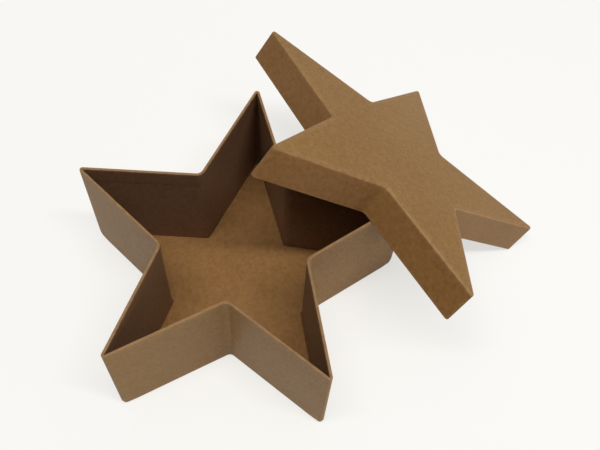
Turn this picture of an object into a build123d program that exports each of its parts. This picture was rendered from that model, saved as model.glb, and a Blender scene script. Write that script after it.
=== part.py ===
from build123d import *
import os
from math import asin, atan2, cos, degrees, pi, radians, sin

# Star-shaped papier-mache gift box: a deep base tray and the shallow lid that lifts off it.
# Each half is a strip of card folded into a star and closed by a cut star panel glued inside it.
# The lid is off: two of its tips stand on the table and its rim leans on the rim of the base.
# Millimetres, +Z up, origin at the centre of the underside of the base, first tip towards +Y.

# Driving sizes of the star, over the outer faces of the base
STAR_POINTS = 5
TIP_RADIUS = 107.0  # centre to the corner where two outer faces would meet at a tip
NOTCH_RADIUS = 45.5  # centre to the corner where two outer faces would meet at a notch

# Driving sizes of the base
BASE_HEIGHT = 79.0
BASE_CARD = 1.6  # thickness of the wall strip
FLOOR_CARD = 1.6  # thickness of the floor panel

# Driving sizes of the lid
LID_DEPTH = 22.5
LID_CARD = 1.6  # thickness of the wall strip
TOP_CARD = 1.6  # thickness of the top panel
LID_CLEARANCE = 2.0  # between the closed lid and the base, on every side

# Folds, edges and fits
TIP_BEND = 0.2  # radius on the hollow side of the sharp fold at a tip
NOTCH_BEND = 4.0  # radius on the hollow side of the soft fold at a notch
FOOT_ROUND = 1.2  # outer edge under the base
LID_EDGE_ROUND = 1.2  # outer edge round the top of the lid
RIM_BEVEL = 0.4  # both edges of each open rim
RIM_SHARE = 0.4  # most of the card that one edge of a rim may take
EDGE_SHARE = 0.8  # most of the card that a foot or top edge may take
PANEL_FIT = 0.15  # glue line between a panel and the wall round it
PANEL_TIP_CLIP = 0.8  # how much rounder a panel's cut tip is than the fold that it sits in

# How the lid leans on the base
LEAN_GAP = 0.1  # left between the two rims where they meet
LID_LEAN = 8.5  # along the lid's wall, from its notch corner to the place that leans
BASE_TIP_CLEARANCE = 2.6  # between the base's tip under the lid and the lid's top panel
LID_SWING = -3.0  # degrees from the run of the base's wall to the slope of the lid, seen from above
LOW_NOTCH_NUMBER = 3  # notch of the lid that points downhill, between the two tips that stand
LID_LEAN_NOTCH_NUMBER = 1  # notch of the lid where the wall that leans starts
BASE_LEAN_NOTCH_NUMBER = 3  # notch of the base where the wall that is leant on starts

# Worked out from the driving sizes
HALF_PITCH = pi / STAR_POINTS
HALF_TIP = atan2(NOTCH_RADIUS * sin(HALF_PITCH), TIP_RADIUS - NOTCH_RADIUS * cos(HALF_PITCH))
HALF_NOTCH = HALF_TIP + HALF_PITCH
LID_OFFSET = LID_CLEARANCE + LID_CARD
BASE_RIM_BEVEL = min(RIM_BEVEL, RIM_SHARE * BASE_CARD)
LID_RIM_BEVEL = min(RIM_BEVEL, RIM_SHARE * LID_CARD)


def tip_angle(number):
    """Direction of a tip from the centre of the star, in radians."""
    return pi / 2 + 2 * HALF_PITCH * number


def notch_angle(number):
    """Direction of the notch that follows a tip, in radians."""
    return tip_angle(number) + HALF_PITCH


def tip_reach(offset):
    """Centre to sharp tip of the star whose edges lie offset outside the base."""
    return TIP_RADIUS + offset / sin(HALF_TIP)


def tip_corner(number, offset):
    """Sharp corner at a tip of the star whose edges lie offset outside the base."""
    angle = tip_angle(number)
    return Vector(cos(angle), sin(angle)) * tip_reach(offset)


def notch_corner(number, offset):
    """Sharp corner at a notch of the star whose edges lie offset outside the base."""
    angle = notch_angle(number)
    reach = NOTCH_RADIUS + offset / sin(HALF_NOTCH)
    return Vector(cos(angle), sin(angle)) * reach


def star_face(offset, tip_round, notch_round):
    """Flat star with rounded tips and notches, its straight edges offset outside the base."""
    corners = []
    rounds = []
    for number in range(STAR_POINTS):
        corners += [tip_corner(number, offset), notch_corner(number, offset)]
        rounds += [tip_round, notch_round]
    return make_face(FilletPolyline(*corners, radius=rounds, close=True))


def folded_wall(offset, card, height):
    """Strip of card on edge, folded into a star, with the bends of its two faces concentric."""
    outer = star_face(offset, TIP_BEND + card, NOTCH_BEND)
    inner = star_face(offset - card, TIP_BEND, NOTCH_BEND + card)
    return extrude(outer - inner, amount=height)


def cut_panel(wall_inside, card):
    """Star cut from flat card to sit inside a wall, with straight cuts that meet at its notches."""
    tip_round = TIP_BEND + PANEL_TIP_CLIP
    return extrude(star_face(wall_inside - PANEL_FIT, tip_round, 0), amount=card)


def end_face(wall, upper):
    """Flat end of an upright wall, the upper or the lower one."""
    ends = wall.faces().filter_by(Axis.Z).sort_by(Axis.Z)
    return ends[-1] if upper else ends[0]


def softened(wall, rim_is_upper, rim_bevel, edge_round):
    """Wall with both edges of its open rim bevelled and the outer edge of its closed end rounded."""
    wall = chamfer(end_face(wall, rim_is_upper).edges(), rim_bevel)
    closed_end = end_face(wall, not rim_is_upper)
    return fillet(closed_end.outer_wire().edges(), edge_round)


def make_base_wall():
    """Deep strip, open at the top, that the box stands on."""
    foot_round = min(FOOT_ROUND, EDGE_SHARE * BASE_CARD)
    return softened(folded_wall(0, BASE_CARD, BASE_HEIGHT), True, BASE_RIM_BEVEL, foot_round)


def make_base_floor():
    """Floor panel, flush with the foot of the base wall."""
    return cut_panel(-BASE_CARD, FLOOR_CARD)


def make_lid_wall():
    """Shallow strip, open at its lower rim, in the lid's own frame on the plane of that rim."""
    edge_round = min(LID_EDGE_ROUND, EDGE_SHARE * LID_CARD)
    return softened(folded_wall(LID_OFFSET, LID_CARD, LID_DEPTH), False, LID_RIM_BEVEL, edge_round)


def make_lid_top():
    """Top panel, flush with the upper edge of the lid wall, in the lid's own frame."""
    return Pos(0, 0, LID_DEPTH - TOP_CARD) * cut_panel(LID_CLEARANCE, TOP_CARD)


def lid_place():
    """Place of the lid's frame: two tips on the table, and its rim on the rim of the base."""
    # In the plane of the rim, X runs downhill from the centre of the lid and Y across the slope
    low_angle = degrees(notch_angle(LOW_NOTCH_NUMBER))
    rim_inside = LID_CLEARANCE + LID_RIM_BEVEL
    fold_start = notch_corner(LID_LEAN_NOTCH_NUMBER, rim_inside).rotate(Axis.Z, -low_angle)
    fold_end = tip_corner(LID_LEAN_NOTCH_NUMBER + 1, rim_inside).rotate(Axis.Z, -low_angle)
    touch = fold_start + (fold_end - fold_start).normalized() * LID_LEAN

    # Furthest downhill that the rounded tips beside the low notch reach
    tip_round = TIP_BEND + LID_CARD
    tip_centre = tip_reach(LID_OFFSET) - tip_round / sin(HALF_TIP)
    low_line = tip_centre * cos(HALF_PITCH) + tip_round - LID_RIM_BEVEL

    # Tilt at which those tips stand on the table while the rim meets the base
    tilt = asin((BASE_HEIGHT + LEAN_GAP) / (low_line - touch.X))
    centre_height = low_line * sin(tilt)

    # Place along the base's wall that leaves its tip clear of the lid's top panel
    base_tip = tip_corner(BASE_LEAN_NOTCH_NUMBER + 1, 0)
    wall_run = (base_tip - notch_corner(BASE_LEAN_NOTCH_NUMBER, 0)).normalized()
    tip_room = LID_DEPTH - TOP_CARD - BASE_TIP_CLEARANCE
    leant_on = base_tip - wall_run * (tip_room / sin(tilt) / cos(radians(LID_SWING)))

    heading = degrees(atan2(wall_run.Y, wall_run.X)) + LID_SWING
    centre = leant_on - Vector(touch.X * cos(tilt), touch.Y).rotate(Axis.Z, heading)
    turned = Rot(0, 0, heading) * Rot(0, degrees(tilt), 0) * Rot(0, 0, -low_angle)
    return Pos(centre.X, centre.Y, centre_height) * turned


lid = lid_place()
nodes = {
    "base_wall": make_base_wall(),
    "base_floor": make_base_floor(),
    "lid_wall": lid * make_lid_wall(),
    "lid_top": lid * make_lid_top(),
}

os.makedirs("parts", exist_ok=True)
for name, solid in nodes.items():
    export_step(solid, f"parts/{name}.step")
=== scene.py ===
"""Looks of a star-shaped papier-mache gift box whose lid is off and leans on the rim of its base.

Metres, +Z up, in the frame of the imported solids: the origin lies under the middle of the base and
the base's first tip points along +Y. Every piece is bare brown kraft paper over grey card.
"""

import logging
import math
from dataclasses import dataclass, field
from enum import Enum
from typing import Optional, Union

import bpy
import numpy as np
from bpy.types import ID, Material, Node, NodeSocket, NodeTree, Object, World
from mathutils import Matrix, Vector

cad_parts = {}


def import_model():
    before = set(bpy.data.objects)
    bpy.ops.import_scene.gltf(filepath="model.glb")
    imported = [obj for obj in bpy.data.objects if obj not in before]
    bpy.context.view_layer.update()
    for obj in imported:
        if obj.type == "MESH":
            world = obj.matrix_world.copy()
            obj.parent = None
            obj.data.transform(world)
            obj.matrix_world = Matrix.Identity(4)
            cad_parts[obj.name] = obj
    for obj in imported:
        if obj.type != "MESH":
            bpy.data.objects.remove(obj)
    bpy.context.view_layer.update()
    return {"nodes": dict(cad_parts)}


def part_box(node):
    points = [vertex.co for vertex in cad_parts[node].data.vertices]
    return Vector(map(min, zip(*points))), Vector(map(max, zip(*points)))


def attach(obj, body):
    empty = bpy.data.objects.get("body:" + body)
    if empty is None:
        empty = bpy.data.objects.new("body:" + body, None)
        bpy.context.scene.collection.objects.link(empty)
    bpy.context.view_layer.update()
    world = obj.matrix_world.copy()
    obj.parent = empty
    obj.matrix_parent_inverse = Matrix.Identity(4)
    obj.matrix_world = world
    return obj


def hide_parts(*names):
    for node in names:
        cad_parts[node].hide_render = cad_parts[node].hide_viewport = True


log = logging.getLogger("star_box")

MM = 0.001
SHARP_FOLD = math.radians(50)  # edges that turn further than this stay crisp
BACKDROP = (1.0, 0.993, 0.96, 1.0)  # white behind the box

Colour = tuple[float, float, float, float]
Pair = tuple[float, float]
Strips = tuple[float, ...]  # a value for the strip of paper round each tip
Input = Union[float, tuple, NodeSocket]


class Mark(Enum):
    """Values that a mesh carries for its finish."""

    LAY = "paper_lay"  # metres along and across the sheet of paper, for fibres and flecks
    WORN = "worn"  # 1 on rubbed folds and cut rims, 0 on untouched paper
    HEM_SHADE = "painted_hem_shade"  # painted shade: 1 along the edge of the turned-in paper, less over the darker hem, and fading down the lining below it
    PAINTED_LIGHT = "painted_light"  # share of painted light: paper painted paler and greyer for table bounce and sheen


class Effect(Enum):
    """Paper effects that the finishes share."""

    CLOUDS = "paper_clouds"
    FIBRES = "paper_fibres"
    FLECKS = "paper_flecks"
    PATCHY = "patchy_mask"


class Slot(Enum):
    """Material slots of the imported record."""

    BASE_OUTSIDE = "base_outside"
    BASE_FLOOR = "base_floor"
    LID_SIDE = "lid_side"
    LID_TOP = "lid_top"


def placed(name: str, data: ID) -> Object:
    """Puts a new object into the scene.

    Args:
        name: its name.
        data: its mesh, lamp or camera.

    Returns:
        The object.
    """
    made = bpy.data.objects.new(name, data)
    bpy.context.scene.collection.objects.link(made)
    return made


@dataclass(frozen=True)
class StarPlan:
    """Plan of the star, over the outer faces of the base.

    Attributes:
        points: number of tips.
        tip_radius: centre to the corner where two outer faces would meet at a tip.
        notch_radius: centre to the corner where two outer faces would meet at a notch.
        tip_bend: radius on the hollow side of the sharp fold at a tip.
        notch_bend: radius on the hollow side of the soft fold at a notch.
    """

    points: int = 5
    tip_radius: float = 107.0 * MM
    notch_radius: float = 45.5 * MM
    tip_bend: float = 0.2 * MM
    notch_bend: float = 4.0 * MM

    @property
    def half_pitch(self) -> float:
        """Angle at the centre between a tip and the next notch."""
        return math.pi / self.points

    @property
    def half_tip(self) -> float:
        """Angle between a wall and the axis of its tip."""
        across = self.notch_radius * math.sin(self.half_pitch)
        return math.atan2(across, self.tip_radius - self.notch_radius * math.cos(self.half_pitch))

    @property
    def half_notch(self) -> float:
        """Angle between a wall and the axis of its notch."""
        return self.half_tip + self.half_pitch

    def tip_angle(self, number: float) -> float:
        """Direction of a tip from the centre; a half number is the notch that follows."""
        return math.pi / 2 + 2 * self.half_pitch * number


@dataclass(frozen=True)
class Outline:
    """Closed line round the star with rounded tips and notches, counter-clockwise from above.

    Attributes:
        plan: the star that it follows.
        offset: how far its straight runs lie outside the walls of the base.
        tip_round: radius at the tips.
        notch_round: radius at the notches.
        tip_steps: segments round a tip.
        notch_steps: segments round a notch.
        run_steps: segments along a straight run.
    """

    plan: StarPlan
    offset: float
    tip_round: float
    notch_round: float
    tip_steps: int = 10
    notch_steps: int = 12
    run_steps: int = 20

    def corner(self, number: int, is_tip: bool) -> tuple[np.ndarray, np.ndarray]:
        """Rounded corner of the line.

        Args:
            number: which tip, or which notch, where a notch follows the tip of its number.
            is_tip: True for the tip and False for the notch.

        Returns:
            Points along the arc, and the outward directions there, each (n, 2).
        """
        plan = self.plan
        swing = math.pi / 2 - plan.half_tip
        axis = plan.tip_angle(number if is_tip else number + 0.5)
        if is_tip:
            reach = plan.tip_radius + (self.offset - self.tip_round) / math.sin(plan.half_tip)
            turn = np.linspace(axis - swing, axis + swing, self.tip_steps + 1)
        else:
            reach = plan.notch_radius + (self.offset + self.notch_round) / math.sin(plan.half_notch)
            half_turn = swing - plan.half_pitch
            turn = np.linspace(axis + half_turn, axis - half_turn, self.notch_steps + 1)
        outward = np.stack([np.cos(turn), np.sin(turn)], axis=1)
        centre = reach * np.array([math.cos(axis), math.sin(axis)])
        bend = self.tip_round if is_tip else -self.notch_round
        return centre + bend * outward, outward

    def trace(self) -> tuple[np.ndarray, np.ndarray]:
        """Walks once round the star.

        Returns:
            Points and outward directions, each (n, 2).
        """
        arcs = []
        for number in range(self.plan.points):
            arcs += [self.corner(number, True), self.corner(number, False)]
        share = np.arange(1, self.run_steps) / self.run_steps
        points, outward = [], []
        for (arc, normals), (following, _) in zip(arcs, arcs[1:] + arcs[:1]):
            run = arc[-1] + share[:, None] * (following[0] - arc[-1])
            points += [arc, run]
            outward += [normals, np.repeat(normals[-1:], len(run), axis=0)]
        return np.concatenate(points), np.concatenate(outward)

    def bellies(self, sizes: np.ndarray) -> np.ndarray:
        """Swelling along the line, where every straight run bellies by its own size.

        Args:
            sizes: swelling in the middle of each run, (2 * points,).

        Returns:
            (n,) swelling at each point of the line, none on the folds.
        """
        swell = np.sin(math.pi * np.arange(1, self.run_steps) / self.run_steps)
        folds = [np.zeros(self.tip_steps + 1), np.zeros(self.notch_steps + 1)]
        parts = []
        for number, size in enumerate(sizes):
            parts += [folds[number % 2], size * swell]
        return np.concatenate(parts)

    def strips(self, values: Strips) -> np.ndarray:
        """Values along the line, where a strip of paper is folded round every tip.

        Args:
            values: value of each strip, which reaches from the middle of one notch to the next.

        Returns:
            (n,) value at each point of the line.
        """
        half = self.notch_steps // 2
        own = self.tip_steps + self.run_steps + half + 1
        next_one = self.notch_steps - half + self.run_steps - 1
        following = values[1:] + values[:1]
        return np.concatenate([np.repeat(pair, [own, next_one]) for pair in zip(values, following)])

    def from_corners(self, is_tip: bool) -> np.ndarray:
        """Measures along the line how far its folds are.

        Args:
            is_tip: True for the tips and False for the notches.

        Returns:
            (n,) distance of each point of the line from the nearest of them.
        """
        points = self.trace()[0]
        middle = (self.tip_steps if is_tip else self.notch_steps) // 2
        apexes = np.array([self.corner(k, is_tip)[0][middle] for k in range(self.plan.points)])
        return np.linalg.norm(points[:, None] - apexes[None], axis=2).min(axis=1)


@dataclass(frozen=True)
class CardSection:
    """Upright section through a strip of card on edge, with rounded corners.

    The section is walked from its inner low corner under the card, up the outer face and down the
    inner one, where a hem of paper that was turned over the high edge may stand out.

    Attributes:
        card: thickness of the card.
        height: height of the strip.
        rounds: radii of the inner low, outer low, outer high and inner high corners.
        hem: how far the turned-in paper reaches down the inner face; 0 for none.
        paper: how far the hem stands out.
        arc_steps: segments round a corner.
        face_steps: segments up a face.
        hem_steps: segments down the hem.
    """

    card: float
    height: float
    rounds: tuple[float, float, float, float]
    hem: float = 0.0
    paper: float = 0.0
    arc_steps: int = 6
    face_steps: int = 18
    hem_steps: int = 8

    def walk(self) -> np.ndarray:
        """Walks once round the section.

        Returns:
            (n, 2) points, as depth inside the outer face and height.
        """
        inner = self.card + self.paper
        corners = [(self.card, 0), (0, 0), (0, self.height), (inner, self.height)]
        rounds, steps = list(self.rounds), [1, self.face_steps, 1, self.face_steps]
        if self.hem:
            corners += [(inner, self.height - self.hem), (self.card, self.height - self.hem)]
            rounds += [0.0, 0.0]
            steps[3:] = [self.hem_steps, 1, self.face_steps]
        corners = np.array(corners, float)
        ways = np.roll(corners, -1, axis=0) - corners
        ways /= np.linalg.norm(ways, axis=1)[:, None]
        phases = np.linspace(0, math.pi / 2, self.arc_steps + 1)[:, None]
        arcs = []
        for number, bend in enumerate(rounds):
            arriving, leaving = ways[number - 1], ways[number]
            centre = corners[number] + bend * (leaving - arriving)
            arc = centre + bend * (arriving * np.sin(phases) - leaving * np.cos(phases))
            arcs.append(arc if bend else corners[number][None])
        walked = []
        for number, (arc, following) in enumerate(zip(arcs, arcs[1:] + arcs[:1])):
            share = (np.arange(1, steps[number]) / steps[number])[:, None]
            if number == len(rounds) - 1:
                share = share**2  # closer points under the edge of the hem
            walked += [arc, arc[-1] + share * (following[0] - arc[-1])]
        return np.concatenate(walked)


@dataclass
class CardMesh:
    """Points, faces and finish values of one piece of card.

    Attributes:
        points: (v, 3) places.
        faces: corner numbers of each face.
        lay: (c, 2) place of each face corner on its sheet of paper.
        marks: (v,) values by mark, such as rubbed folds and rims.
        lining: (f,) 1 on faces that take the second paper, the greyer copy painted for the shade, 0 on the
            rest.
    """

    points: np.ndarray
    faces: list[list[int]]
    lay: np.ndarray
    marks: dict[Mark, np.ndarray]
    lining: np.ndarray

    def to_object(self, name: str) -> Object:
        """Makes the Blender object.

        Args:
            name: name of the piece.

        Returns:
            The object, smooth on its folds and crisp on its cut edges.
        """
        mesh = bpy.data.meshes.new(name)
        mesh.from_pydata(self.points.tolist(), [], self.faces)
        lay = np.zeros((len(self.lay), 3), np.float32)
        lay[:, :2] = self.lay
        paper = mesh.attributes.new(Mark.LAY.value, "FLOAT_VECTOR", "CORNER")
        paper.data.foreach_set("vector", lay.ravel())
        for mark, values in self.marks.items():
            layer = mesh.attributes.new(mark.value, "FLOAT", "POINT")
            layer.data.foreach_set("value", values.astype(np.float32))
        mesh.polygons.foreach_set("material_index", self.lining.astype(np.int32))
        mesh.shade_smooth()
        mesh.set_sharp_from_angle(angle=SHARP_FOLD)
        mesh.validate()
        piece = placed(name, mesh)
        even = piece.modifiers.new("flat_faces_stay_flat", "WEIGHTED_NORMAL")
        even.keep_sharp = True
        return piece


def ring_faces(rows: int, columns: int, closed: bool) -> np.ndarray:
    """Faces of a grid of points whose columns run round a closed line.

    Args:
        rows: number of lines of points.
        columns: number of points in a line.
        closed: True where the last line joins the first.

    Returns:
        (f, 4) corner numbers, facing outwards where lines run counter-clockwise and rows go up.
    """
    bands = rows if closed else rows - 1
    row, column = np.meshgrid(np.arange(bands), np.arange(columns), indexing="ij")
    low, high = row * columns, (row + 1) % rows * columns
    beside = (column + 1) % columns
    corners = [low + column, low + beside, high + beside, high + column]
    return np.stack(corners, axis=-1).reshape(-1, 4)


def fade(distance: np.ndarray, reach: float) -> np.ndarray:
    """Falls smoothly from 1 at no distance to 0 at the reach."""
    near = np.clip(1 - distance / reach, 0, 1)
    return near * near * (3 - 2 * near)


def running_length(points: np.ndarray) -> np.ndarray:
    """Length walked round a closed line at each point, and back at the first one, (n + 1,)."""
    steps = np.linalg.norm(np.roll(points, -1, axis=0) - points, axis=1)
    return np.concatenate([[0.0], np.cumsum(steps)])


@dataclass
class FoldedWall:
    """A strip of card on edge, folded into the star.

    Attributes:
        outline: line of its outer face.
        section: its upright section.
        bow: most that a straight panel bellies in or out.
        seed: picks the bow of each panel.
        painted_light: how much paler and greyer the strip of paper round each tip is painted, for table
            bounce and sheen.
        brown: how far from a notch the painted light dies away, as painted shade in the notch; 0 where it
            is even.
        lined: True where the inner face takes a paper of its own, the greyer copy painted for the shade.
        bow_span: shares of the bow that a panel may take, below 0 for inwards.
    """

    outline: Outline
    section: CardSection
    bow: float
    seed: int
    painted_light: Strips
    brown: float = 0.0
    lined: bool = False
    bow_span: Pair = (-1.0, 0.4)

    def mesh(self, marks: dict[Mark, np.ndarray]) -> CardMesh:
        """Sweeps the section round the star.

        Args:
            marks: values by mark, a row for each point of the section.

        Returns:
            The closed wall, standing on height 0.
        """
        line, outward = self.outline.trace()
        walked = self.section.walk()

        # Every panel bellies by its own size, most at half its length and height
        panels = 2 * self.outline.plan.points
        sizes = self.bow * np.random.default_rng(self.seed).uniform(*self.bow_span, panels)
        rise = np.sin(math.pi * walked[:, 1] / self.section.height)
        bulge = rise[:, None] * self.outline.bellies(sizes)[None]
        inset = walked[:, :1] - bulge
        flat = line[None] - inset[..., None] * outward[None]
        rows, columns = flat.shape[:2]
        heights = np.broadcast_to(walked[:, None, 1:], (rows, columns, 1))
        points = np.concatenate([flat, heights], axis=2)

        # The paper lies along the wall and round its section
        across, along = np.meshgrid(running_length(walked), running_length(line), indexing="ij")
        lay = np.stack([along, across], axis=-1)
        corners = [lay[:-1, :-1], lay[:-1, 1:], lay[1:, 1:], lay[1:, :-1]]
        spread = {}
        for mark, values in marks.items():
            spread[mark] = np.broadcast_to(values, (rows, columns)).ravel()

        # Painted light only on the outer face: the strips are painted paler and greyer, less towards the
        # notches, which is painted shade there
        painted_share = self.outline.strips(self.painted_light)
        if self.brown:
            painted_share = painted_share * (1 - fade(self.outline.from_corners(False), self.brown))
        half = self.section.card / 2
        spread[Mark.PAINTED_LIGHT] = np.outer(walked[:, 0] < half, painted_share).ravel()
        middle = (walked[:, 0] + np.roll(walked[:, 0], -1)) / 2
        return CardMesh(
            points.reshape(-1, 3),
            ring_faces(rows, columns, True).tolist(),
            np.stack(corners, axis=2).reshape(-1, 2),
            spread,
            np.repeat(self.lined & (middle > half), columns),
        )


@dataclass
class CutPanel:
    """A star cut from flat card.

    Attributes:
        outline: line of its cut edge on top.
        under: line of its edge underneath.
        glued: line that the glue fills out to, just above the underside.
        card: thickness.
        edge_round: softness of its cut edges.
        rings: rings of faces from the edge to the middle.
        glue_share: height of the glue, as a share of the card.
    """

    outline: Outline
    under: Outline
    glued: Outline
    card: float
    edge_round: float
    rings: int = 14
    glue_share: float = 0.25

    def mesh(self, wear_reach: float) -> CardMesh:
        """Builds the closed panel.

        Args:
            wear_reach: how far the wear of the edge reaches over the panel; 0 for none.

        Returns:
            The panel, lying on height 0.
        """
        line, outward = self.outline.trace()
        foot, glue = self.under.trace()[0], self.glued.trace()[0]
        inner = line - self.edge_round * outward
        shares = 1 - np.arange(self.rings) / self.rings

        # Rings go out over the underside, up the edge and in over the top
        rings = [(foot * share, 0.0) for share in shares[::-1]]
        rings += [(glue, self.card * self.glue_share)]
        if self.edge_round:
            rings += [(line, self.card - self.edge_round)]
        rings += [(inner * share, self.card) for share in shares]
        rows, columns = len(rings), len(line)
        points = np.concatenate([np.c_[flat, np.full(columns, height)] for flat, height in rings])
        points = np.concatenate([points, [[0, 0, 0], [0, 0, self.card]]])
        faces = ring_faces(rows, columns, False).tolist()
        under, top, last = rows * columns, rows * columns + 1, (rows - 1) * columns
        for column in range(columns):
            beside = (column + 1) % columns
            faces.append([under, beside, column])
            faces.append([top, last + column, last + beside])
        order = np.array([corner for face in faces for corner in face])

        # Wear fades from the edge inwards, measured square to it
        worn = np.zeros(len(points))
        if wear_reach:
            edge = np.linalg.norm(line, axis=1)
            slant = math.sin(self.outline.plan.half_tip)
            for row, (flat, _) in enumerate(rings):
                inside = (edge - np.linalg.norm(flat, axis=1)) * slant
                worn[row * columns : (row + 1) * columns] = fade(inside, wear_reach)
        return CardMesh(points, faces, points[order, :2], {Mark.WORN: worn}, np.zeros(len(faces)))


@dataclass(frozen=True)
class NodeSheet:
    """A node tree that is being drawn.

    Attributes:
        tree: the tree that the nodes go into.
        mix_inputs: numbers of the share and of the two colours among the inputs of a Mix node.
        mix_output: number of the colour among its outputs.
    """

    tree: NodeTree
    mix_inputs: tuple[int, int, int] = (0, 6, 7)
    mix_output: int = 2

    def add(self, kind: str, inputs: Optional[dict] = None, **settings: object) -> Node:
        """Adds a node.

        Args:
            kind: Blender's name for the node.
            inputs: values or sockets for its inputs, by name or number.
            settings: properties of the node.

        Returns:
            The node.
        """
        node = self.tree.nodes.new(kind)
        for name, value in settings.items():
            setattr(node, name, value)
        for key, value in (inputs or {}).items():
            self.feed(node.inputs[key], value)
        return node

    def feed(self, socket: NodeSocket, value: Input) -> None:
        """Joins a socket to another one, or sets its value.

        Args:
            socket: the input.
            value: the output that it is joined to, or its value.
        """
        if isinstance(value, NodeSocket):
            self.tree.links.new(value, socket)
        else:
            socket.default_value = value

    def math(self, operation: str, *values: Input, clamp: bool = False) -> NodeSocket:
        """Result of a Math node on these values."""
        inputs = dict(enumerate(values))
        return self.add("ShaderNodeMath", inputs, operation=operation, use_clamp=clamp).outputs[0]

    def mix(self, share: Input, first: Input, second: Input) -> NodeSocket:
        """Colour between two colours."""
        inputs = dict(zip(self.mix_inputs, (share, first, second)))
        return self.add("ShaderNodeMix", inputs, data_type="RGBA").outputs[self.mix_output]

    def per(self, size: Input) -> NodeSocket:
        """Scale of a texture whose features have this size."""
        return self.math("DIVIDE", 1.0, size)

    def noise(self, place: Input, scale: Input, detail: float, rough: float = 0.5) -> NodeSocket:
        """Value of a smooth noise at a place."""
        inputs = {"Vector": place, "Scale": scale, "Detail": detail, "Roughness": rough}
        return self.add("ShaderNodeTexNoise", inputs).outputs[0]

    def spread(self, value: Input, given: Pair, wanted: tuple = (0.0, 1.0)) -> NodeSocket:
        """Value stretched smoothly from a given range to the wanted one."""
        inputs = dict(enumerate((value, *given, *wanted)))
        return self.add("ShaderNodeMapRange", inputs, interpolation_type="SMOOTHSTEP").outputs[0]

    def sight(self) -> NodeSocket:
        """Tells what is seen from what only lights the box.

        Returns:
            1 for rays of the camera, also by way of gloss or glass, and 0 for rays that light the box.
        """
        ray = self.add("ShaderNodeLightPath").outputs
        direct = self.math("MAXIMUM", ray["Is Camera Ray"], ray["Is Glossy Ray"])
        return self.math("MAXIMUM", direct, ray["Is Transmission Ray"])


def blank_sheet(owner: Union[Material, World]) -> NodeSheet:
    """Clears the nodes of a material or of the world.

    Args:
        owner: the material or the world.

    Returns:
        Its empty sheet.
    """
    owner.use_nodes = True
    owner.node_tree.nodes.clear()
    return NodeSheet(owner.node_tree)


@dataclass(frozen=True)
class Patches:
    """How a mark on the paper is broken up.

    Attributes:
        size: size of the patches.
        least: least of the mark that they leave.
    """

    size: float
    least: float


PATCHES = {
    Mark.WORN: Patches(3 * MM, 0.55),
    Mark.HEM_SHADE: Patches(8 * MM, 0.75),
    Mark.PAINTED_LIGHT: Patches(14 * MM, 0.85),
}


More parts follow.
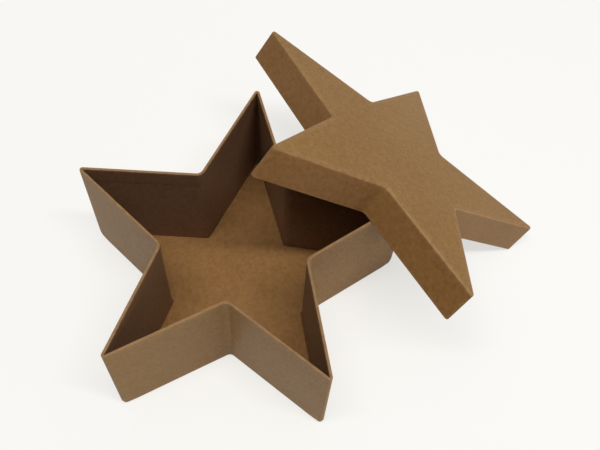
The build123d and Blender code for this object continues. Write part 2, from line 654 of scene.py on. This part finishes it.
@dataclass
class PaperEffects:
    """The shader groups that the paper finishes share, each built once.

    Attributes:
        cloud_size: size of the clouds in the paper.
        cloud_noise: how often finer clouds are laid over them, and the strength that each keeps.
        cloud_span: values of that noise between the darkest and the lightest cloud.
        patch_size: size of the patches that handling leaves.
        patch_span: values of a noise between which a patch comes up.
        fibre_size: length and width of a fibre.
        fibre_turns: ways that the fibres lie, in radians.
        fibre_level: value of a noise along whose level line a fibre lies.
        fibre_ridge: how far from that value the fibre ends.
        fibre_lift: height of the fibres over the fine grain of the sheet.
        grain_size: size of that grain.
        fleck_spacing: distance between flecks.
        fleck_size: half the width of a fleck.
        fleck_share: share of the places for a fleck that hold a dark one, and also a pale one.
        fleck_draw: width of a fleck over its length along the run of the paper.
        trees: the groups by effect.
    """

    cloud_size: float = 3.0 * MM
    cloud_noise: Pair = (5.0, 0.68)
    cloud_span: Pair = (0.28, 0.72)
    patch_size: float = 45.0 * MM
    patch_span: Pair = (0.3, 0.7)
    fibre_size: Pair = (3.2 * MM, 0.35 * MM)
    fibre_turns: tuple[float, float, float] = (0.35, 1.45, 2.5)
    fibre_level: float = 0.5
    fibre_ridge: float = 0.1
    fibre_lift: float = 0.5
    grain_size: float = 0.35 * MM
    fleck_spacing: float = 2.4 * MM
    fleck_size: float = 0.40 * MM
    fleck_share: float = 0.3
    fleck_draw: float = 0.4
    trees: dict[Effect, NodeTree] = field(default_factory=dict)

    def build(self) -> None:
        """Builds every group."""
        self.build_clouds()
        self.build_fibres()
        self.build_flecks()
        self.build_patchy()

    def start(self, effect: Effect, inputs: dict, outputs: tuple) -> tuple[NodeSheet, dict, Node]:
        """Starts a group.

        Args:
            effect: which effect it is.
            inputs: usual value of each input by name, or None for a vector.
            outputs: names of its values.

        Returns:
            The sheet to draw on, the group's inputs by name, and the node that takes its outputs.
        """
        tree = bpy.data.node_groups.new(effect.value, "ShaderNodeTree")
        for name, usual in inputs.items():
            kind = "NodeSocketVector" if usual is None else "NodeSocketFloat"
            socket = tree.interface.new_socket(name, in_out="INPUT", socket_type=kind)
            if usual is not None:
                socket.default_value = usual
        for name in outputs:
            tree.interface.new_socket(name, in_out="OUTPUT", socket_type="NodeSocketFloat")
        self.trees[effect] = tree
        sheet = NodeSheet(tree)
        given = sheet.add("NodeGroupInput").outputs
        return sheet, {name: given[name] for name in inputs}, sheet.add("NodeGroupOutput")

    def place(self, sheet: NodeSheet, effect: Effect, inputs: dict[str, Input]) -> Node:
        """Group node of an effect on a material's sheet."""
        return sheet.add("ShaderNodeGroup", inputs, node_tree=self.trees[effect])

    def build_clouds(self) -> None:
        """Cloudy look of paper against the light, and the wide patches that handling leaves."""
        sizes = {"Place": None, "Cloud Size": self.cloud_size, "Patch Size": self.patch_size}
        sheet, given, made = self.start(Effect.CLOUDS, sizes, ("Cloud", "Patch"))
        cloud = sheet.noise(given["Place"], sheet.per(given["Cloud Size"]), *self.cloud_noise)
        patch = sheet.noise(given["Place"], sheet.per(given["Patch Size"]), detail=1.0)
        sheet.feed(made.inputs["Cloud"], sheet.spread(cloud, self.cloud_span))
        sheet.feed(made.inputs["Patch"], sheet.spread(patch, self.patch_span))

    def build_fibres(self) -> None:
        """Short fibres lying every way in the sheet, as ridges of stretched noises."""
        length, width = self.fibre_size
        sizes = {"Lay": None, "Length": length, "Width": width, "Grain Size": self.grain_size}
        sheet, given, made = self.start(Effect.FIBRES, sizes, ("Fibre", "Height"))
        scales = {"X": sheet.per(given["Length"]), "Y": sheet.per(given["Width"])}
        stretch = sheet.add("ShaderNodeCombineXYZ", scales).outputs[0]
        most, total = 0.0, 0.0
        for turn in self.fibre_turns:
            turned = sheet.add("ShaderNodeVectorRotate", {"Vector": given["Lay"], "Angle": turn}).outputs[0]
            drawn = {0: turned, 1: stretch}
            laid = sheet.add("ShaderNodeVectorMath", drawn, operation="MULTIPLY").outputs[0]
            wave = sheet.noise(laid, scale=1.0, detail=1.0)
            off_ridge = sheet.math("ABSOLUTE", sheet.math("SUBTRACT", wave, self.fibre_level))
            strand = sheet.spread(off_ridge, (self.fibre_ridge, 0.0))
            most = sheet.math("MAXIMUM", most, strand)
            total = sheet.math("ADD", total, strand)
        sheet.feed(made.inputs["Fibre"], sheet.math("DIVIDE", total, float(len(self.fibre_turns))))
        grain = sheet.noise(given["Lay"], sheet.per(given["Grain Size"]), detail=2.0)
        sheet.feed(made.inputs["Height"], sheet.math("MULTIPLY_ADD", most, self.fibre_lift, grain))

    def build_flecks(self) -> None:
        """Scattered slivers of bark and lighter pulp, drawn out along the run of the paper."""
        sizes = {
            "Lay": None,
            "Spacing": self.fleck_spacing,
            "Fleck Size": self.fleck_size,
            "Share": self.fleck_share,
        }
        sheet, given, made = self.start(Effect.FLECKS, sizes, ("Dark", "Pale"))
        scale = sheet.per(given["Spacing"])
        drawn = {0: given["Lay"], 1: (self.fleck_draw, 1.0, 1.0)}
        laid = sheet.add("ShaderNodeVectorMath", drawn, operation="MULTIPLY").outputs[0]
        cells = sheet.add("ShaderNodeTexVoronoi", {"Vector": laid, "Scale": scale, "Randomness": 1.0})
        size = sheet.math("MULTIPLY", given["Fleck Size"], scale)
        away = sheet.math("DIVIDE", cells.outputs["Distance"], size)
        spot = sheet.math("SUBTRACT", 1.0, away, clamp=True)
        pick = sheet.add("ShaderNodeSeparateColor", {0: cells.outputs["Color"]}).outputs
        for name, chance in (("Dark", pick[0]), ("Pale", pick[1])):
            chosen = sheet.math("LESS_THAN", chance, given["Share"])
            sheet.feed(made.inputs[name], sheet.math("MULTIPLY", spot, chosen))

    def build_patchy(self) -> None:
        """A mask such as wear along folds, broken up so that it isn't an even line."""
        worn = PATCHES[Mark.WORN]
        sizes = {"Mask": 0.0, "Place": None, "Break Size": worn.size, "Least": worn.least}
        sheet, given, made = self.start(Effect.PATCHY, sizes, ("Kept",))
        patchy = sheet.noise(given["Place"], sheet.per(given["Break Size"]), detail=2.0)
        kept = sheet.spread(patchy, self.patch_span, (given["Least"], 1.0))
        sheet.feed(made.inputs["Kept"], sheet.math("MULTIPLY", given["Mask"], kept, clamp=True))


@dataclass(frozen=True)
class KraftPaper:
    """Bare brown kraft paper.

    Attributes:
        name: name of the material.
        dark: paper between its fibres.
        light: paper on its fibres.
        rubbed: worn folds, cut card and pale specks.
        bark: dark specks and dried paste.
        pale: faded paper.
        clouding: share of the tone that is cloudy.
        handling: share of the tone that wide patches take.
        fibres: share of the tone that fibres take.
        bark_share: strength of the dark specks.
        pulp_share: strength of the pale specks.
        hem_shade_share: strength of the darker hem and of the painted shade along and below it.
        rub_share: strength of the wear on folds and rims.
        rough: roughness on fibres and between them.
        sheen: strength of the faint gloss.
        relief: depth of the fibres.
        relief_share: share of that depth that shows.
    """

    name: str
    dark: Colour = (0.187, 0.086, 0.0155, 1.0)
    light: Colour = (0.306, 0.163, 0.046, 1.0)
    rubbed: Colour = (0.400, 0.238, 0.108, 1.0)
    # bark: dark specks, and the darker hem with the painted shade along and below it.
    bark: Colour = (0.130, 0.065, 0.025, 1.0)
    # pale: colour of the painted light, a paler and greyer paper for table bounce and sheen.
    pale: Colour = (0.400, 0.260, 0.135, 1.0)
    clouding: float = 0.50
    handling: float = 0.12
    fibres: float = 0.55
    bark_share: float = 0.60
    pulp_share: float = 0.40
    hem_shade_share: float = 0.45
    rub_share: float = 0.75
    rough: Pair = (0.32, 0.45)
    sheen: float = 0.07
    relief: float = 0.06 * MM
    relief_share: float = 0.5

    def material(self, effects: PaperEffects) -> Material:
        """Builds the material.

        Args:
            effects: the shared shader groups.

        Returns:
            The material.
        """
        made = bpy.data.materials.new(self.name)
        sheet = blank_sheet(made)
        place = sheet.add("ShaderNodeTexCoord").outputs["Object"]
        lay = sheet.add("ShaderNodeAttribute", attribute_name=Mark.LAY.value).outputs["Vector"]
        clouds = effects.place(sheet, Effect.CLOUDS, {"Place": place}).outputs
        fibres = effects.place(sheet, Effect.FIBRES, {"Lay": lay}).outputs
        flecks = effects.place(sheet, Effect.FLECKS, {"Lay": lay}).outputs
        kept = {}
        for mark, patches in PATCHES.items():
            mask = sheet.add("ShaderNodeAttribute", attribute_name=mark.value).outputs["Fac"]
            inputs = {"Mask": mask, "Place": place, "Break Size": patches.size, "Least": patches.least}
            kept[mark] = effects.place(sheet, Effect.PATCHY, inputs).outputs["Kept"]

        cloudy = sheet.math("MULTIPLY", clouds["Cloud"], self.clouding)
        handled = sheet.math("MULTIPLY_ADD", clouds["Patch"], self.handling, cloudy)
        tone = sheet.math("MULTIPLY_ADD", fibres["Fibre"], self.fibres, handled)
        paper = sheet.mix(tone, self.dark, self.light)
        # Painted light: the paper is painted paler and greyer where table bounce and sheen fall
        colour = sheet.mix(kept[Mark.PAINTED_LIGHT], paper, self.pale)
        # Dark and pale specks, the darker hem with painted shade along and below it, and wear
        laid_over = (
            (flecks["Dark"], self.bark_share, self.bark),
            (flecks["Pale"], self.pulp_share, self.rubbed),
            (kept[Mark.HEM_SHADE], self.hem_shade_share, self.bark),
            (kept[Mark.WORN], self.rub_share, self.rubbed),
        )
        for mask, strength, tint in laid_over:
            colour = sheet.mix(sheet.math("MULTIPLY", mask, strength), colour, tint)

        relief = {"Strength": self.relief_share, "Distance": self.relief, "Height": fibres["Height"]}
        bump = sheet.add("ShaderNodeBump", relief)
        inputs = {
            "Base Color": colour,
            "Roughness": sheet.spread(fibres["Fibre"], (0.0, 1.0), self.rough[::-1]),
            "Specular IOR Level": self.sheen,
            "Normal": bump.outputs["Normal"],
        }
        shader = sheet.add("ShaderNodeBsdfPrincipled", inputs)
        sheet.add("ShaderNodeOutputMaterial", {"Surface": shader.outputs[0]})
        return made


OUTSIDE_KRAFT = KraftPaper("kraft_base_outside", (0.200, 0.094, 0.019, 1.0), (0.344, 0.188, 0.053, 1.0))
# Greyer, bluer copy of the paper for the inner walls, painted for the cool grey of their shade
LINING_SHADE_KRAFT = KraftPaper("kraft_shaded_base_lining", (0.200, 0.102, 0.046, 1.0), (0.308, 0.181, 0.112, 1.0))
# Darker copy of the lid's paper for its sides: painted shade on the sides turned from the lamp
LID_SIDE_SHADE_KRAFT = KraftPaper("kraft_shaded_lid_side", (0.182, 0.082, 0.020, 1.0), (0.302, 0.154, 0.058, 1.0))
FLOOR_KRAFT = KraftPaper("kraft_base_floor", (0.224, 0.103, 0.030, 1.0), (0.348, 0.185, 0.070, 1.0))
LID_TOP_KRAFT = KraftPaper("kraft_lid_top")


@dataclass
class BaseTray:
    """The deep half of the box: a folded wall and the floor panel glued inside it.

    Attributes:
        plan: the star.
        height: height of the wall.
        card: thickness of the wall.
        floor_card: thickness of the floor.
        foot_round: outer edge under the wall.
        rim_round: both edges of the open rim.
        fit: glue line between floor and wall.
        floor_tip: radius of the floor's cut tips.
        floor_notch: radius of the knife cut at the floor's notches.
        floor_edge: softness of the floor's upper edge.
        hem: how far the covering paper is turned in over the rim.
        paper: thickness of that paper.
        blunt: how far the foot of a tip is knocked back.
        blunt_reach: how far along the walls that reaches.
        bow: most that a panel of the wall bellies.
        bow_seed: picks the bow of each panel.
        painted_light: how much paler and greyer the strip round each tip is painted, for table bounce and
            sheen.
        brown: how far from a notch the painted light dies away, as painted shade in the notches.
        rim_wear: how far the rim is rubbed.
        rim_reach: how far down from the rim that goes.
        hem_shade_levels: how dark the hem is made, and the painted shade on the lining just below it.
        shade_reach: how far below the hem that painted shade goes.
        hem_line: width of the painted shade along the edge of the hem.
    """

    plan: StarPlan
    height: float = 79.0 * MM
    card: float = 1.6 * MM
    floor_card: float = 1.6 * MM
    foot_round: float = 1.2 * MM
    rim_round: float = 0.5 * MM
    fit: float = 0.15 * MM
    floor_tip: float = 1.0 * MM
    floor_notch: float = 0.05 * MM
    floor_edge: float = 0.15 * MM
    hem: float = 12.0 * MM
    paper: float = 0.15 * MM
    blunt: float = 3.5 * MM
    blunt_reach: float = 9.0 * MM
    bow: float = 0.5 * MM
    bow_seed: int = 11
    painted_light: Strips = (0.12, 0.14, 0.19, 0.13, 0.09)
    brown: float = 30.0 * MM
    rim_wear: float = 0.65
    rim_reach: float = 1.2 * MM
    hem_shade_levels: Pair = (0.8, 0.5)
    shade_reach: float = 45.0 * MM
    hem_line: float = 1.6 * MM

    def knocked_back(self, points: np.ndarray, from_tip: np.ndarray) -> np.ndarray:
        """Rounds the foot of every tip, as card wears where it is set down.

        Args:
            points: (v, 3) places, in whole lines of the outline.
            from_tip: distance from the nearest tip at each point of a line.

        Returns:
            The places after wear.
        """
        near = np.resize(fade(from_tip, self.blunt_reach), len(points))
        low = np.clip(1 - points[:, 2] / self.blunt, 0, 1)
        back = self.blunt * (1 - np.sqrt(1 - low * low)) * near
        pitch = 2 * self.plan.half_pitch
        angle = np.arctan2(points[:, 1], points[:, 0]) - self.plan.tip_angle(0)
        axis = np.round(angle / pitch) * pitch + self.plan.tip_angle(0)
        moved = points.copy()
        moved[:, 0] -= back * np.cos(axis)
        moved[:, 1] -= back * np.sin(axis)
        return moved

    def wall(self) -> Object:
        """Folds the deep strip, with a rubbed rim, the hem of its paper turned in, and painted shade along
        and below the hem.

        Returns:
            The wall.
        """
        outline = Outline(self.plan, 0.0, self.plan.tip_bend + self.card, self.plan.notch_bend)
        rounds = (0.0, self.foot_round, self.rim_round, self.rim_round)
        section = CardSection(self.card, self.height, rounds, self.hem, self.paper)
        depth, height = section.walk().T
        below_rim = self.height - height
        # Painted shade along the edge of the hem and fading down the lining below it; the hem itself is
        # darker
        from_hem = np.hypot(depth - self.card, below_rim - self.hem)
        on_hem, under_hem = self.hem_shade_levels
        lower = under_hem * fade(below_rim - self.hem, self.shade_reach)
        lining_shade = np.where(depth > self.card, on_hem, lower) * (depth > self.card / 2)
        painted_hem_shade = np.maximum(fade(from_hem, self.hem_line), lining_shade)
        rubbed = self.rim_wear * fade(below_rim, self.rim_reach)
        marks = {Mark.WORN: rubbed[:, None], Mark.HEM_SHADE: painted_hem_shade[:, None]}
        folded = FoldedWall(outline, section, self.bow, self.bow_seed, self.painted_light, self.brown, lined=True)
        mesh = folded.mesh(marks)
        mesh.points = self.knocked_back(mesh.points, outline.from_corners(True))
        return mesh.to_object("base_wall_paper")

    def floor(self) -> Object:
        """Cuts the floor panel, flush with the foot of the wall.

        Returns:
            The floor.
        """
        cut, filled = self.card + self.fit, self.card - self.fit
        outline = Outline(self.plan, -cut, self.floor_tip, self.floor_notch)
        under = Outline(self.plan, -cut, self.floor_tip, self.plan.notch_bend + cut)
        glued = Outline(self.plan, -filled, self.floor_tip, self.plan.notch_bend + filled)
        mesh = CutPanel(outline, under, glued, self.floor_card, self.floor_edge).mesh(wear_reach=0.0)
        rim = len(outline.trace()[0])
        whole = len(mesh.points) // rim * rim
        mesh.points[:whole] = self.knocked_back(mesh.points[:whole], outline.from_corners(True))
        return mesh.to_object("base_floor_paper")

    def build(self, effects: PaperEffects) -> list[Object]:
        """Builds both pieces and dresses them.

        Args:
            effects: the shared shader groups.

        Returns:
            The pieces.
        """
        wall, floor = self.wall(), self.floor()
        papers = [paper.material(effects) for paper in (OUTSIDE_KRAFT, LINING_SHADE_KRAFT)]
        settle(wall, "base_wall", Slot.BASE_OUTSIDE, *papers)
        settle(floor, "base_floor", Slot.BASE_FLOOR, FLOOR_KRAFT.material(effects))
        return [wall, floor]


@dataclass
class LeaningLid:
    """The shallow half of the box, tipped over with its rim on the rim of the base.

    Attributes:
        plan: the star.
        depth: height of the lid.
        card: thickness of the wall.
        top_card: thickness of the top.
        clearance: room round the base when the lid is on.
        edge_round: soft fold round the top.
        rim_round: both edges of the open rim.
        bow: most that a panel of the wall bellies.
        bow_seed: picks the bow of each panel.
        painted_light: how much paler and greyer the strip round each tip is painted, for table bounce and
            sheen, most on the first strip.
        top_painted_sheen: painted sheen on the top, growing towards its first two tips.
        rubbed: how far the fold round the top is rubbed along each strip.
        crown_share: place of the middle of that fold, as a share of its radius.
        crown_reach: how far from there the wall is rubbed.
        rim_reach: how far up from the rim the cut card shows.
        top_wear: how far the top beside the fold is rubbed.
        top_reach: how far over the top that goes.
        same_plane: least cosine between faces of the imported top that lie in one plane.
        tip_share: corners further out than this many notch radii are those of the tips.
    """

    plan: StarPlan
    depth: float = 22.5 * MM
    card: float = 1.6 * MM
    top_card: float = 1.6 * MM
    clearance: float = 2.0 * MM
    edge_round: float = 1.4 * MM
    rim_round: float = 0.65 * MM
    bow: float = 0.25 * MM
    bow_seed: int = 12
    painted_light: Strips = (0.48, 0.15, 0.08, 0.0, 0.0)
    top_painted_sheen: float = 0.13
    rubbed: Strips = (0.9, 0.9, 0.9, 0.8, 1.5)
    crown_share: float = 0.3
    crown_reach: float = 1.5 * MM
    rim_reach: float = 1.0 * MM
    top_wear: float = 0.3
    top_reach: float = 0.9 * MM
    same_plane: float = 0.9999
    tip_share: float = 1.5

    def stand(self, top: Object) -> Matrix:
        """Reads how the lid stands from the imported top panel.

        Args:
            top: the CAD node of the top panel.

        Returns:
            The matrix from the lid's own frame, on the plane of its rim, to the frame of the part.
        """
        upper = [face for face in top.data.polygons if face.normal.z > 0]
        normal = max(upper, key=lambda face: face.area).normal.copy()
        faces = [face for face in upper if face.normal.dot(normal) > self.same_plane]
        area = sum(face.area for face in faces)
        middle = sum((face.center * face.area for face in faces), Vector()) / area
        upright = Vector((0, 0, 1)).rotation_difference(normal).to_matrix().to_4x4()
        level = upright.inverted()

        # As complex numbers, the tips raised to the power of their number all point one way
        turning = 0j
        for vertex in top.data.vertices:
            flat = level @ (vertex.co - middle)
            spot = complex(flat.x, flat.y)
            if abs(spot) > self.plan.notch_radius * self.tip_share:
                turning += spot**self.plan.points
        turn = math.atan2(turning.imag, turning.real) / self.plan.points - math.pi / 2
        return (
            Matrix.Translation(middle)
            @ upright
            @ Matrix.Rotation(turn, 4, "Z")
            @ Matrix.Translation((0, 0, -self.depth))
        )

    def wall(self) -> Object:
        """Folds the shallow strip, with a soft fold round its top.

        Returns:
            The wall, in the lid's own frame.
        """
        offset = self.clearance + self.card
        outline = Outline(self.plan, offset, self.plan.tip_bend + self.card, self.plan.notch_bend)
        rounds = (self.rim_round, self.rim_round, self.edge_round, 0.0)
        section = CardSection(self.card, self.depth, rounds)
        walked = section.walk()
        inset = self.edge_round * self.crown_share
        from_crown = np.linalg.norm(walked - np.array([inset, self.depth - inset]), axis=1)
        rubbed = np.outer(fade(from_crown, self.crown_reach), outline.strips(self.rubbed))
        cut = fade(walked[:, 1], self.rim_reach)[:, None]
        folded = FoldedWall(outline, section, self.bow, self.bow_seed, self.painted_light)
        return folded.mesh({Mark.WORN: np.maximum(rubbed, cut)}).to_object("lid_wall_paper")

    def top(self) -> Object:
        """Cuts the top panel, papered over so that no seam shows beside the fold.

        Returns:
            The top, in the lid's own frame.
        """
        outline = Outline(self.plan, self.clearance, self.plan.tip_bend, self.plan.notch_bend + self.card)
        mesh = CutPanel(outline, outline, outline, self.top_card, edge_round=0.0).mesh(self.top_reach)
        mesh.marks[Mark.WORN] *= self.top_wear
        # Painted sheen: the top is painted paler and greyer towards its first two tips
        axis = self.plan.tip_angle(0.5)
        towards = mesh.points[:, :2] @ np.array([math.cos(axis), math.sin(axis)])
        share = np.clip((1 + towards / towards.max()) / 2, 0, 1)
        mesh.marks[Mark.PAINTED_LIGHT] = self.top_painted_sheen * share * share
        mesh.points[:, 2] += self.depth - self.top_card
        return mesh.to_object("lid_top_paper")

    def build(self, effects: PaperEffects, nodes: dict[str, Object]) -> list[Object]:
        """Builds both pieces, stands them up and dresses them.

        Args:
            effects: the shared shader groups.
            nodes: the CAD nodes by name.

        Returns:
            The pieces.
        """
        stand = self.stand(nodes["lid_top"])
        wall, top = self.wall(), self.top()
        for piece in (wall, top):
            piece.data.transform(stand)
        settle(wall, "lid_wall", Slot.LID_SIDE, LID_SIDE_SHADE_KRAFT.material(effects))
        settle(top, "lid_top", Slot.LID_TOP, LID_TOP_KRAFT.material(effects))
        return [wall, top]


def settle(piece: Object, node: str, slot: Slot, *finishes: Material) -> None:
    """Dresses a piece, puts it in place of its CAD node and lets it ride with the part.

    Args:
        piece: the new piece.
        node: CAD node that it stands for.
        slot: the record's material slot.
        finishes: its paper, and the greyer copy painted for its lining where it has one.
    """
    for finish in finishes:
        piece.data.materials.append(finish)
    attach(piece, "root")
    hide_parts(node)
    corners = np.array([piece.matrix_world @ Vector(corner) for corner in piece.bound_box])
    own_box = np.array([corners.min(axis=0), corners.max(axis=0)])
    off = np.abs(own_box - np.array(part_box(node))).max()
    log.info("%s stands for %s: boxes within %.2f mm", piece.name, node, off / MM)


@dataclass(frozen=True)
class WhiteTable:
    """Pale matt table that turns into the backdrop away from the box.

    Attributes:
        name: name of the material.
        matt: its colour.
        glow: share of its look to the camera that is plain white; the rest keeps the shadow.
        glow_reach: distances from the origin between which it turns into the backdrop.
    """

    name: str = "white_table"
    matt: Colour = (0.95, 0.943, 0.915, 1.0)
    glow: float = 0.65
    glow_reach: Pair = (0.4, 1.6)

    def material(self) -> Material:
        """Builds the material.

        Returns:
            The material.
        """
        made = bpy.data.materials.new(self.name)
        sheet = blank_sheet(made)
        place = sheet.add("ShaderNodeTexCoord").outputs["Object"]
        away = sheet.add("ShaderNodeVectorMath", {0: place}, operation="LENGTH").outputs["Value"]
        glow = sheet.spread(away, self.glow_reach, (self.glow, 1.0))
        matt = sheet.add("ShaderNodeBsdfDiffuse", {"Color": self.matt})
        white = sheet.add("ShaderNodeEmission", {"Color": BACKDROP})
        share = sheet.math("MULTIPLY", sheet.sight(), glow)
        both = sheet.add("ShaderNodeMixShader", {0: share, 1: matt.outputs[0], 2: white.outputs[0]})
        sheet.add("ShaderNodeOutputMaterial", {"Surface": both.outputs[0]})
        return made


@dataclass
class Studio:
    """White table under a long strip lamp, with soft light from above and from a far window.

    Attributes:
        table: finish of the table.
        table_reach: half of its side.
        table_drop: hair's breadth between the table and the underside of the box.
        strip_height: height of the strip lamp over the table.
        strip_aside: how far its middle hangs to the right of the box, and behind it where above 0.
        strip_size: its length and width.
        strip_power: watts.
        overhead: strength of the soft light above.
        overhead_reach: zenith angles between which it dies away, in degrees.
        window: strength of the soft light low down behind and to the right.
        window_reach: zenith angles between which it comes up, in degrees.
        window_side: sums of a direction's x and y between which it comes up.
    """

    table: WhiteTable = WhiteTable()
    table_reach: float = 6.0
    table_drop: float = 0.05 * MM
    strip_height: float = 2.5
    strip_aside: Pair = (0.30, -0.375)
    strip_size: Pair = (2.4, 0.17)
    strip_power: float = 42.0
    overhead: float = 0.92
    overhead_reach: Pair = (28.0, 42.0)
    window: float = 1.57
    window_reach: Pair = (60.0, 70.0)
    window_side: Pair = (-1.0, 1.0)

    def build_table(self) -> None:
        """Lays the table under the box."""
        reach = self.table_reach
        corners = [(-reach, -reach, 0), (reach, -reach, 0), (reach, reach, 0), (-reach, reach, 0)]
        mesh = bpy.data.meshes.new("table")
        mesh.from_pydata(corners, [], [(0, 1, 2, 3)])
        mesh.materials.append(self.table.material())
        table = placed("table", mesh)
        table.location.z = -self.table_drop

    def build_lamp(self) -> None:
        """Hangs the strip lamp, level and across the front of the table."""
        lamp = bpy.data.lights.new("strip_lamp", "AREA")
        lamp.shape = "RECTANGLE"
        lamp.size, lamp.size_y = self.strip_size
        lamp.energy = self.strip_power
        placed("strip_lamp", lamp).location = (*self.strip_aside, self.strip_height)

    def build_sky(self) -> None:
        """Makes the soft light for the box, with plain white behind it for the camera."""
        world = bpy.data.worlds.new("soft_light")
        sheet = blank_sheet(world)
        way = sheet.add("ShaderNodeTexCoord").outputs["Generated"]
        axes = sheet.add("ShaderNodeSeparateXYZ", {0: way}).outputs
        inner, outer = np.cos(np.radians(self.overhead_reach)).tolist()
        above = sheet.spread(axes["Z"], (outer, inner), (0.0, self.overhead))
        high, low = np.cos(np.radians(self.window_reach)).tolist()
        level = sheet.spread(axes["Z"], (high, low), (0.0, self.window))
        side = sheet.spread(sheet.math("ADD", axes["X"], axes["Y"]), self.window_side)
        soft = sheet.math("MULTIPLY_ADD", level, side, above)
        lit = sheet.add("ShaderNodeBackground", {"Strength": soft})
        plain = sheet.add("ShaderNodeBackground", {"Color": BACKDROP})
        shades = {0: sheet.sight(), 1: lit.outputs[0], 2: plain.outputs[0]}
        both = sheet.add("ShaderNodeMixShader", shades)
        sheet.add("ShaderNodeOutputWorld", {"Surface": both.outputs[0]})
        bpy.context.scene.world = world

    def build(self) -> None:
        """Builds the studio."""
        self.build_table()
        self.build_lamp()
        self.build_sky()
        bpy.context.scene.view_settings.view_transform = "Standard"


@dataclass(frozen=True)
class StudioCamera:
    """Camera that looks down on the box from the front.

    Attributes:
        frame_px: width of the picture in pixels.
        focal_px: focal length in pixels of that picture.
        azimuth: degrees round the box from the front.
        elevation: degrees above the table.
        roll: degrees that the camera is turned in its own plane.
        distance: from the origin, along the line of sight.
        aside: how far it stands to its right and its top from that line.
        sensor: width of the sensor, in millimetres.
        nearest: nearest thing that it shows.
    """

    frame_px: float = 600.0
    focal_px: float = 818.1
    azimuth: float = 1.13
    elevation: float = 60.09
    roll: float = 4.60
    distance: float = 541.6 * MM
    aside: Pair = (39.8 * MM, 42.5 * MM)
    sensor: float = 36.0
    nearest: float = 10.0 * MM

    def build(self) -> None:
        """Sets the camera up."""
        turn, rise, roll = (math.radians(angle) for angle in (self.azimuth, self.elevation, self.roll))
        level = Vector((math.sin(turn), -math.cos(turn), 0))
        back = level * math.cos(rise) + Vector((0, 0, math.sin(rise)))
        right = Vector((math.cos(turn), math.sin(turn), 0))
        top = back.cross(right)
        across = right * math.cos(roll) + top * math.sin(roll)
        along = top * math.cos(roll) - right * math.sin(roll)
        lens = bpy.data.cameras.new("camera")
        lens.sensor_fit = "HORIZONTAL"
        lens.sensor_width = self.sensor
        lens.lens = self.focal_px / self.frame_px * self.sensor
        lens.clip_start = self.nearest
        camera = placed("camera", lens)
        camera.matrix_world = Matrix((across, along, back)).transposed().to_4x4()
        camera.location = across * self.aside[0] + along * self.aside[1] + back * self.distance
        bpy.context.scene.camera = camera


def main() -> None:
    """Builds the studio, the base and the lid, and notes their size."""
    logging.basicConfig(level=logging.INFO, format="%(name)s: %(message)s")
    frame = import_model()
    Studio().build()
    StudioCamera().build()
    effects = PaperEffects()
    effects.build()
    plan = StarPlan()
    pieces = BaseTray(plan).build(effects) + LeaningLid(plan).build(effects, frame["nodes"])
    for piece in pieces:
        log.info("%s: %d faces", piece.name, len(piece.data.polygons))


if __name__ == "__main__":
    main()
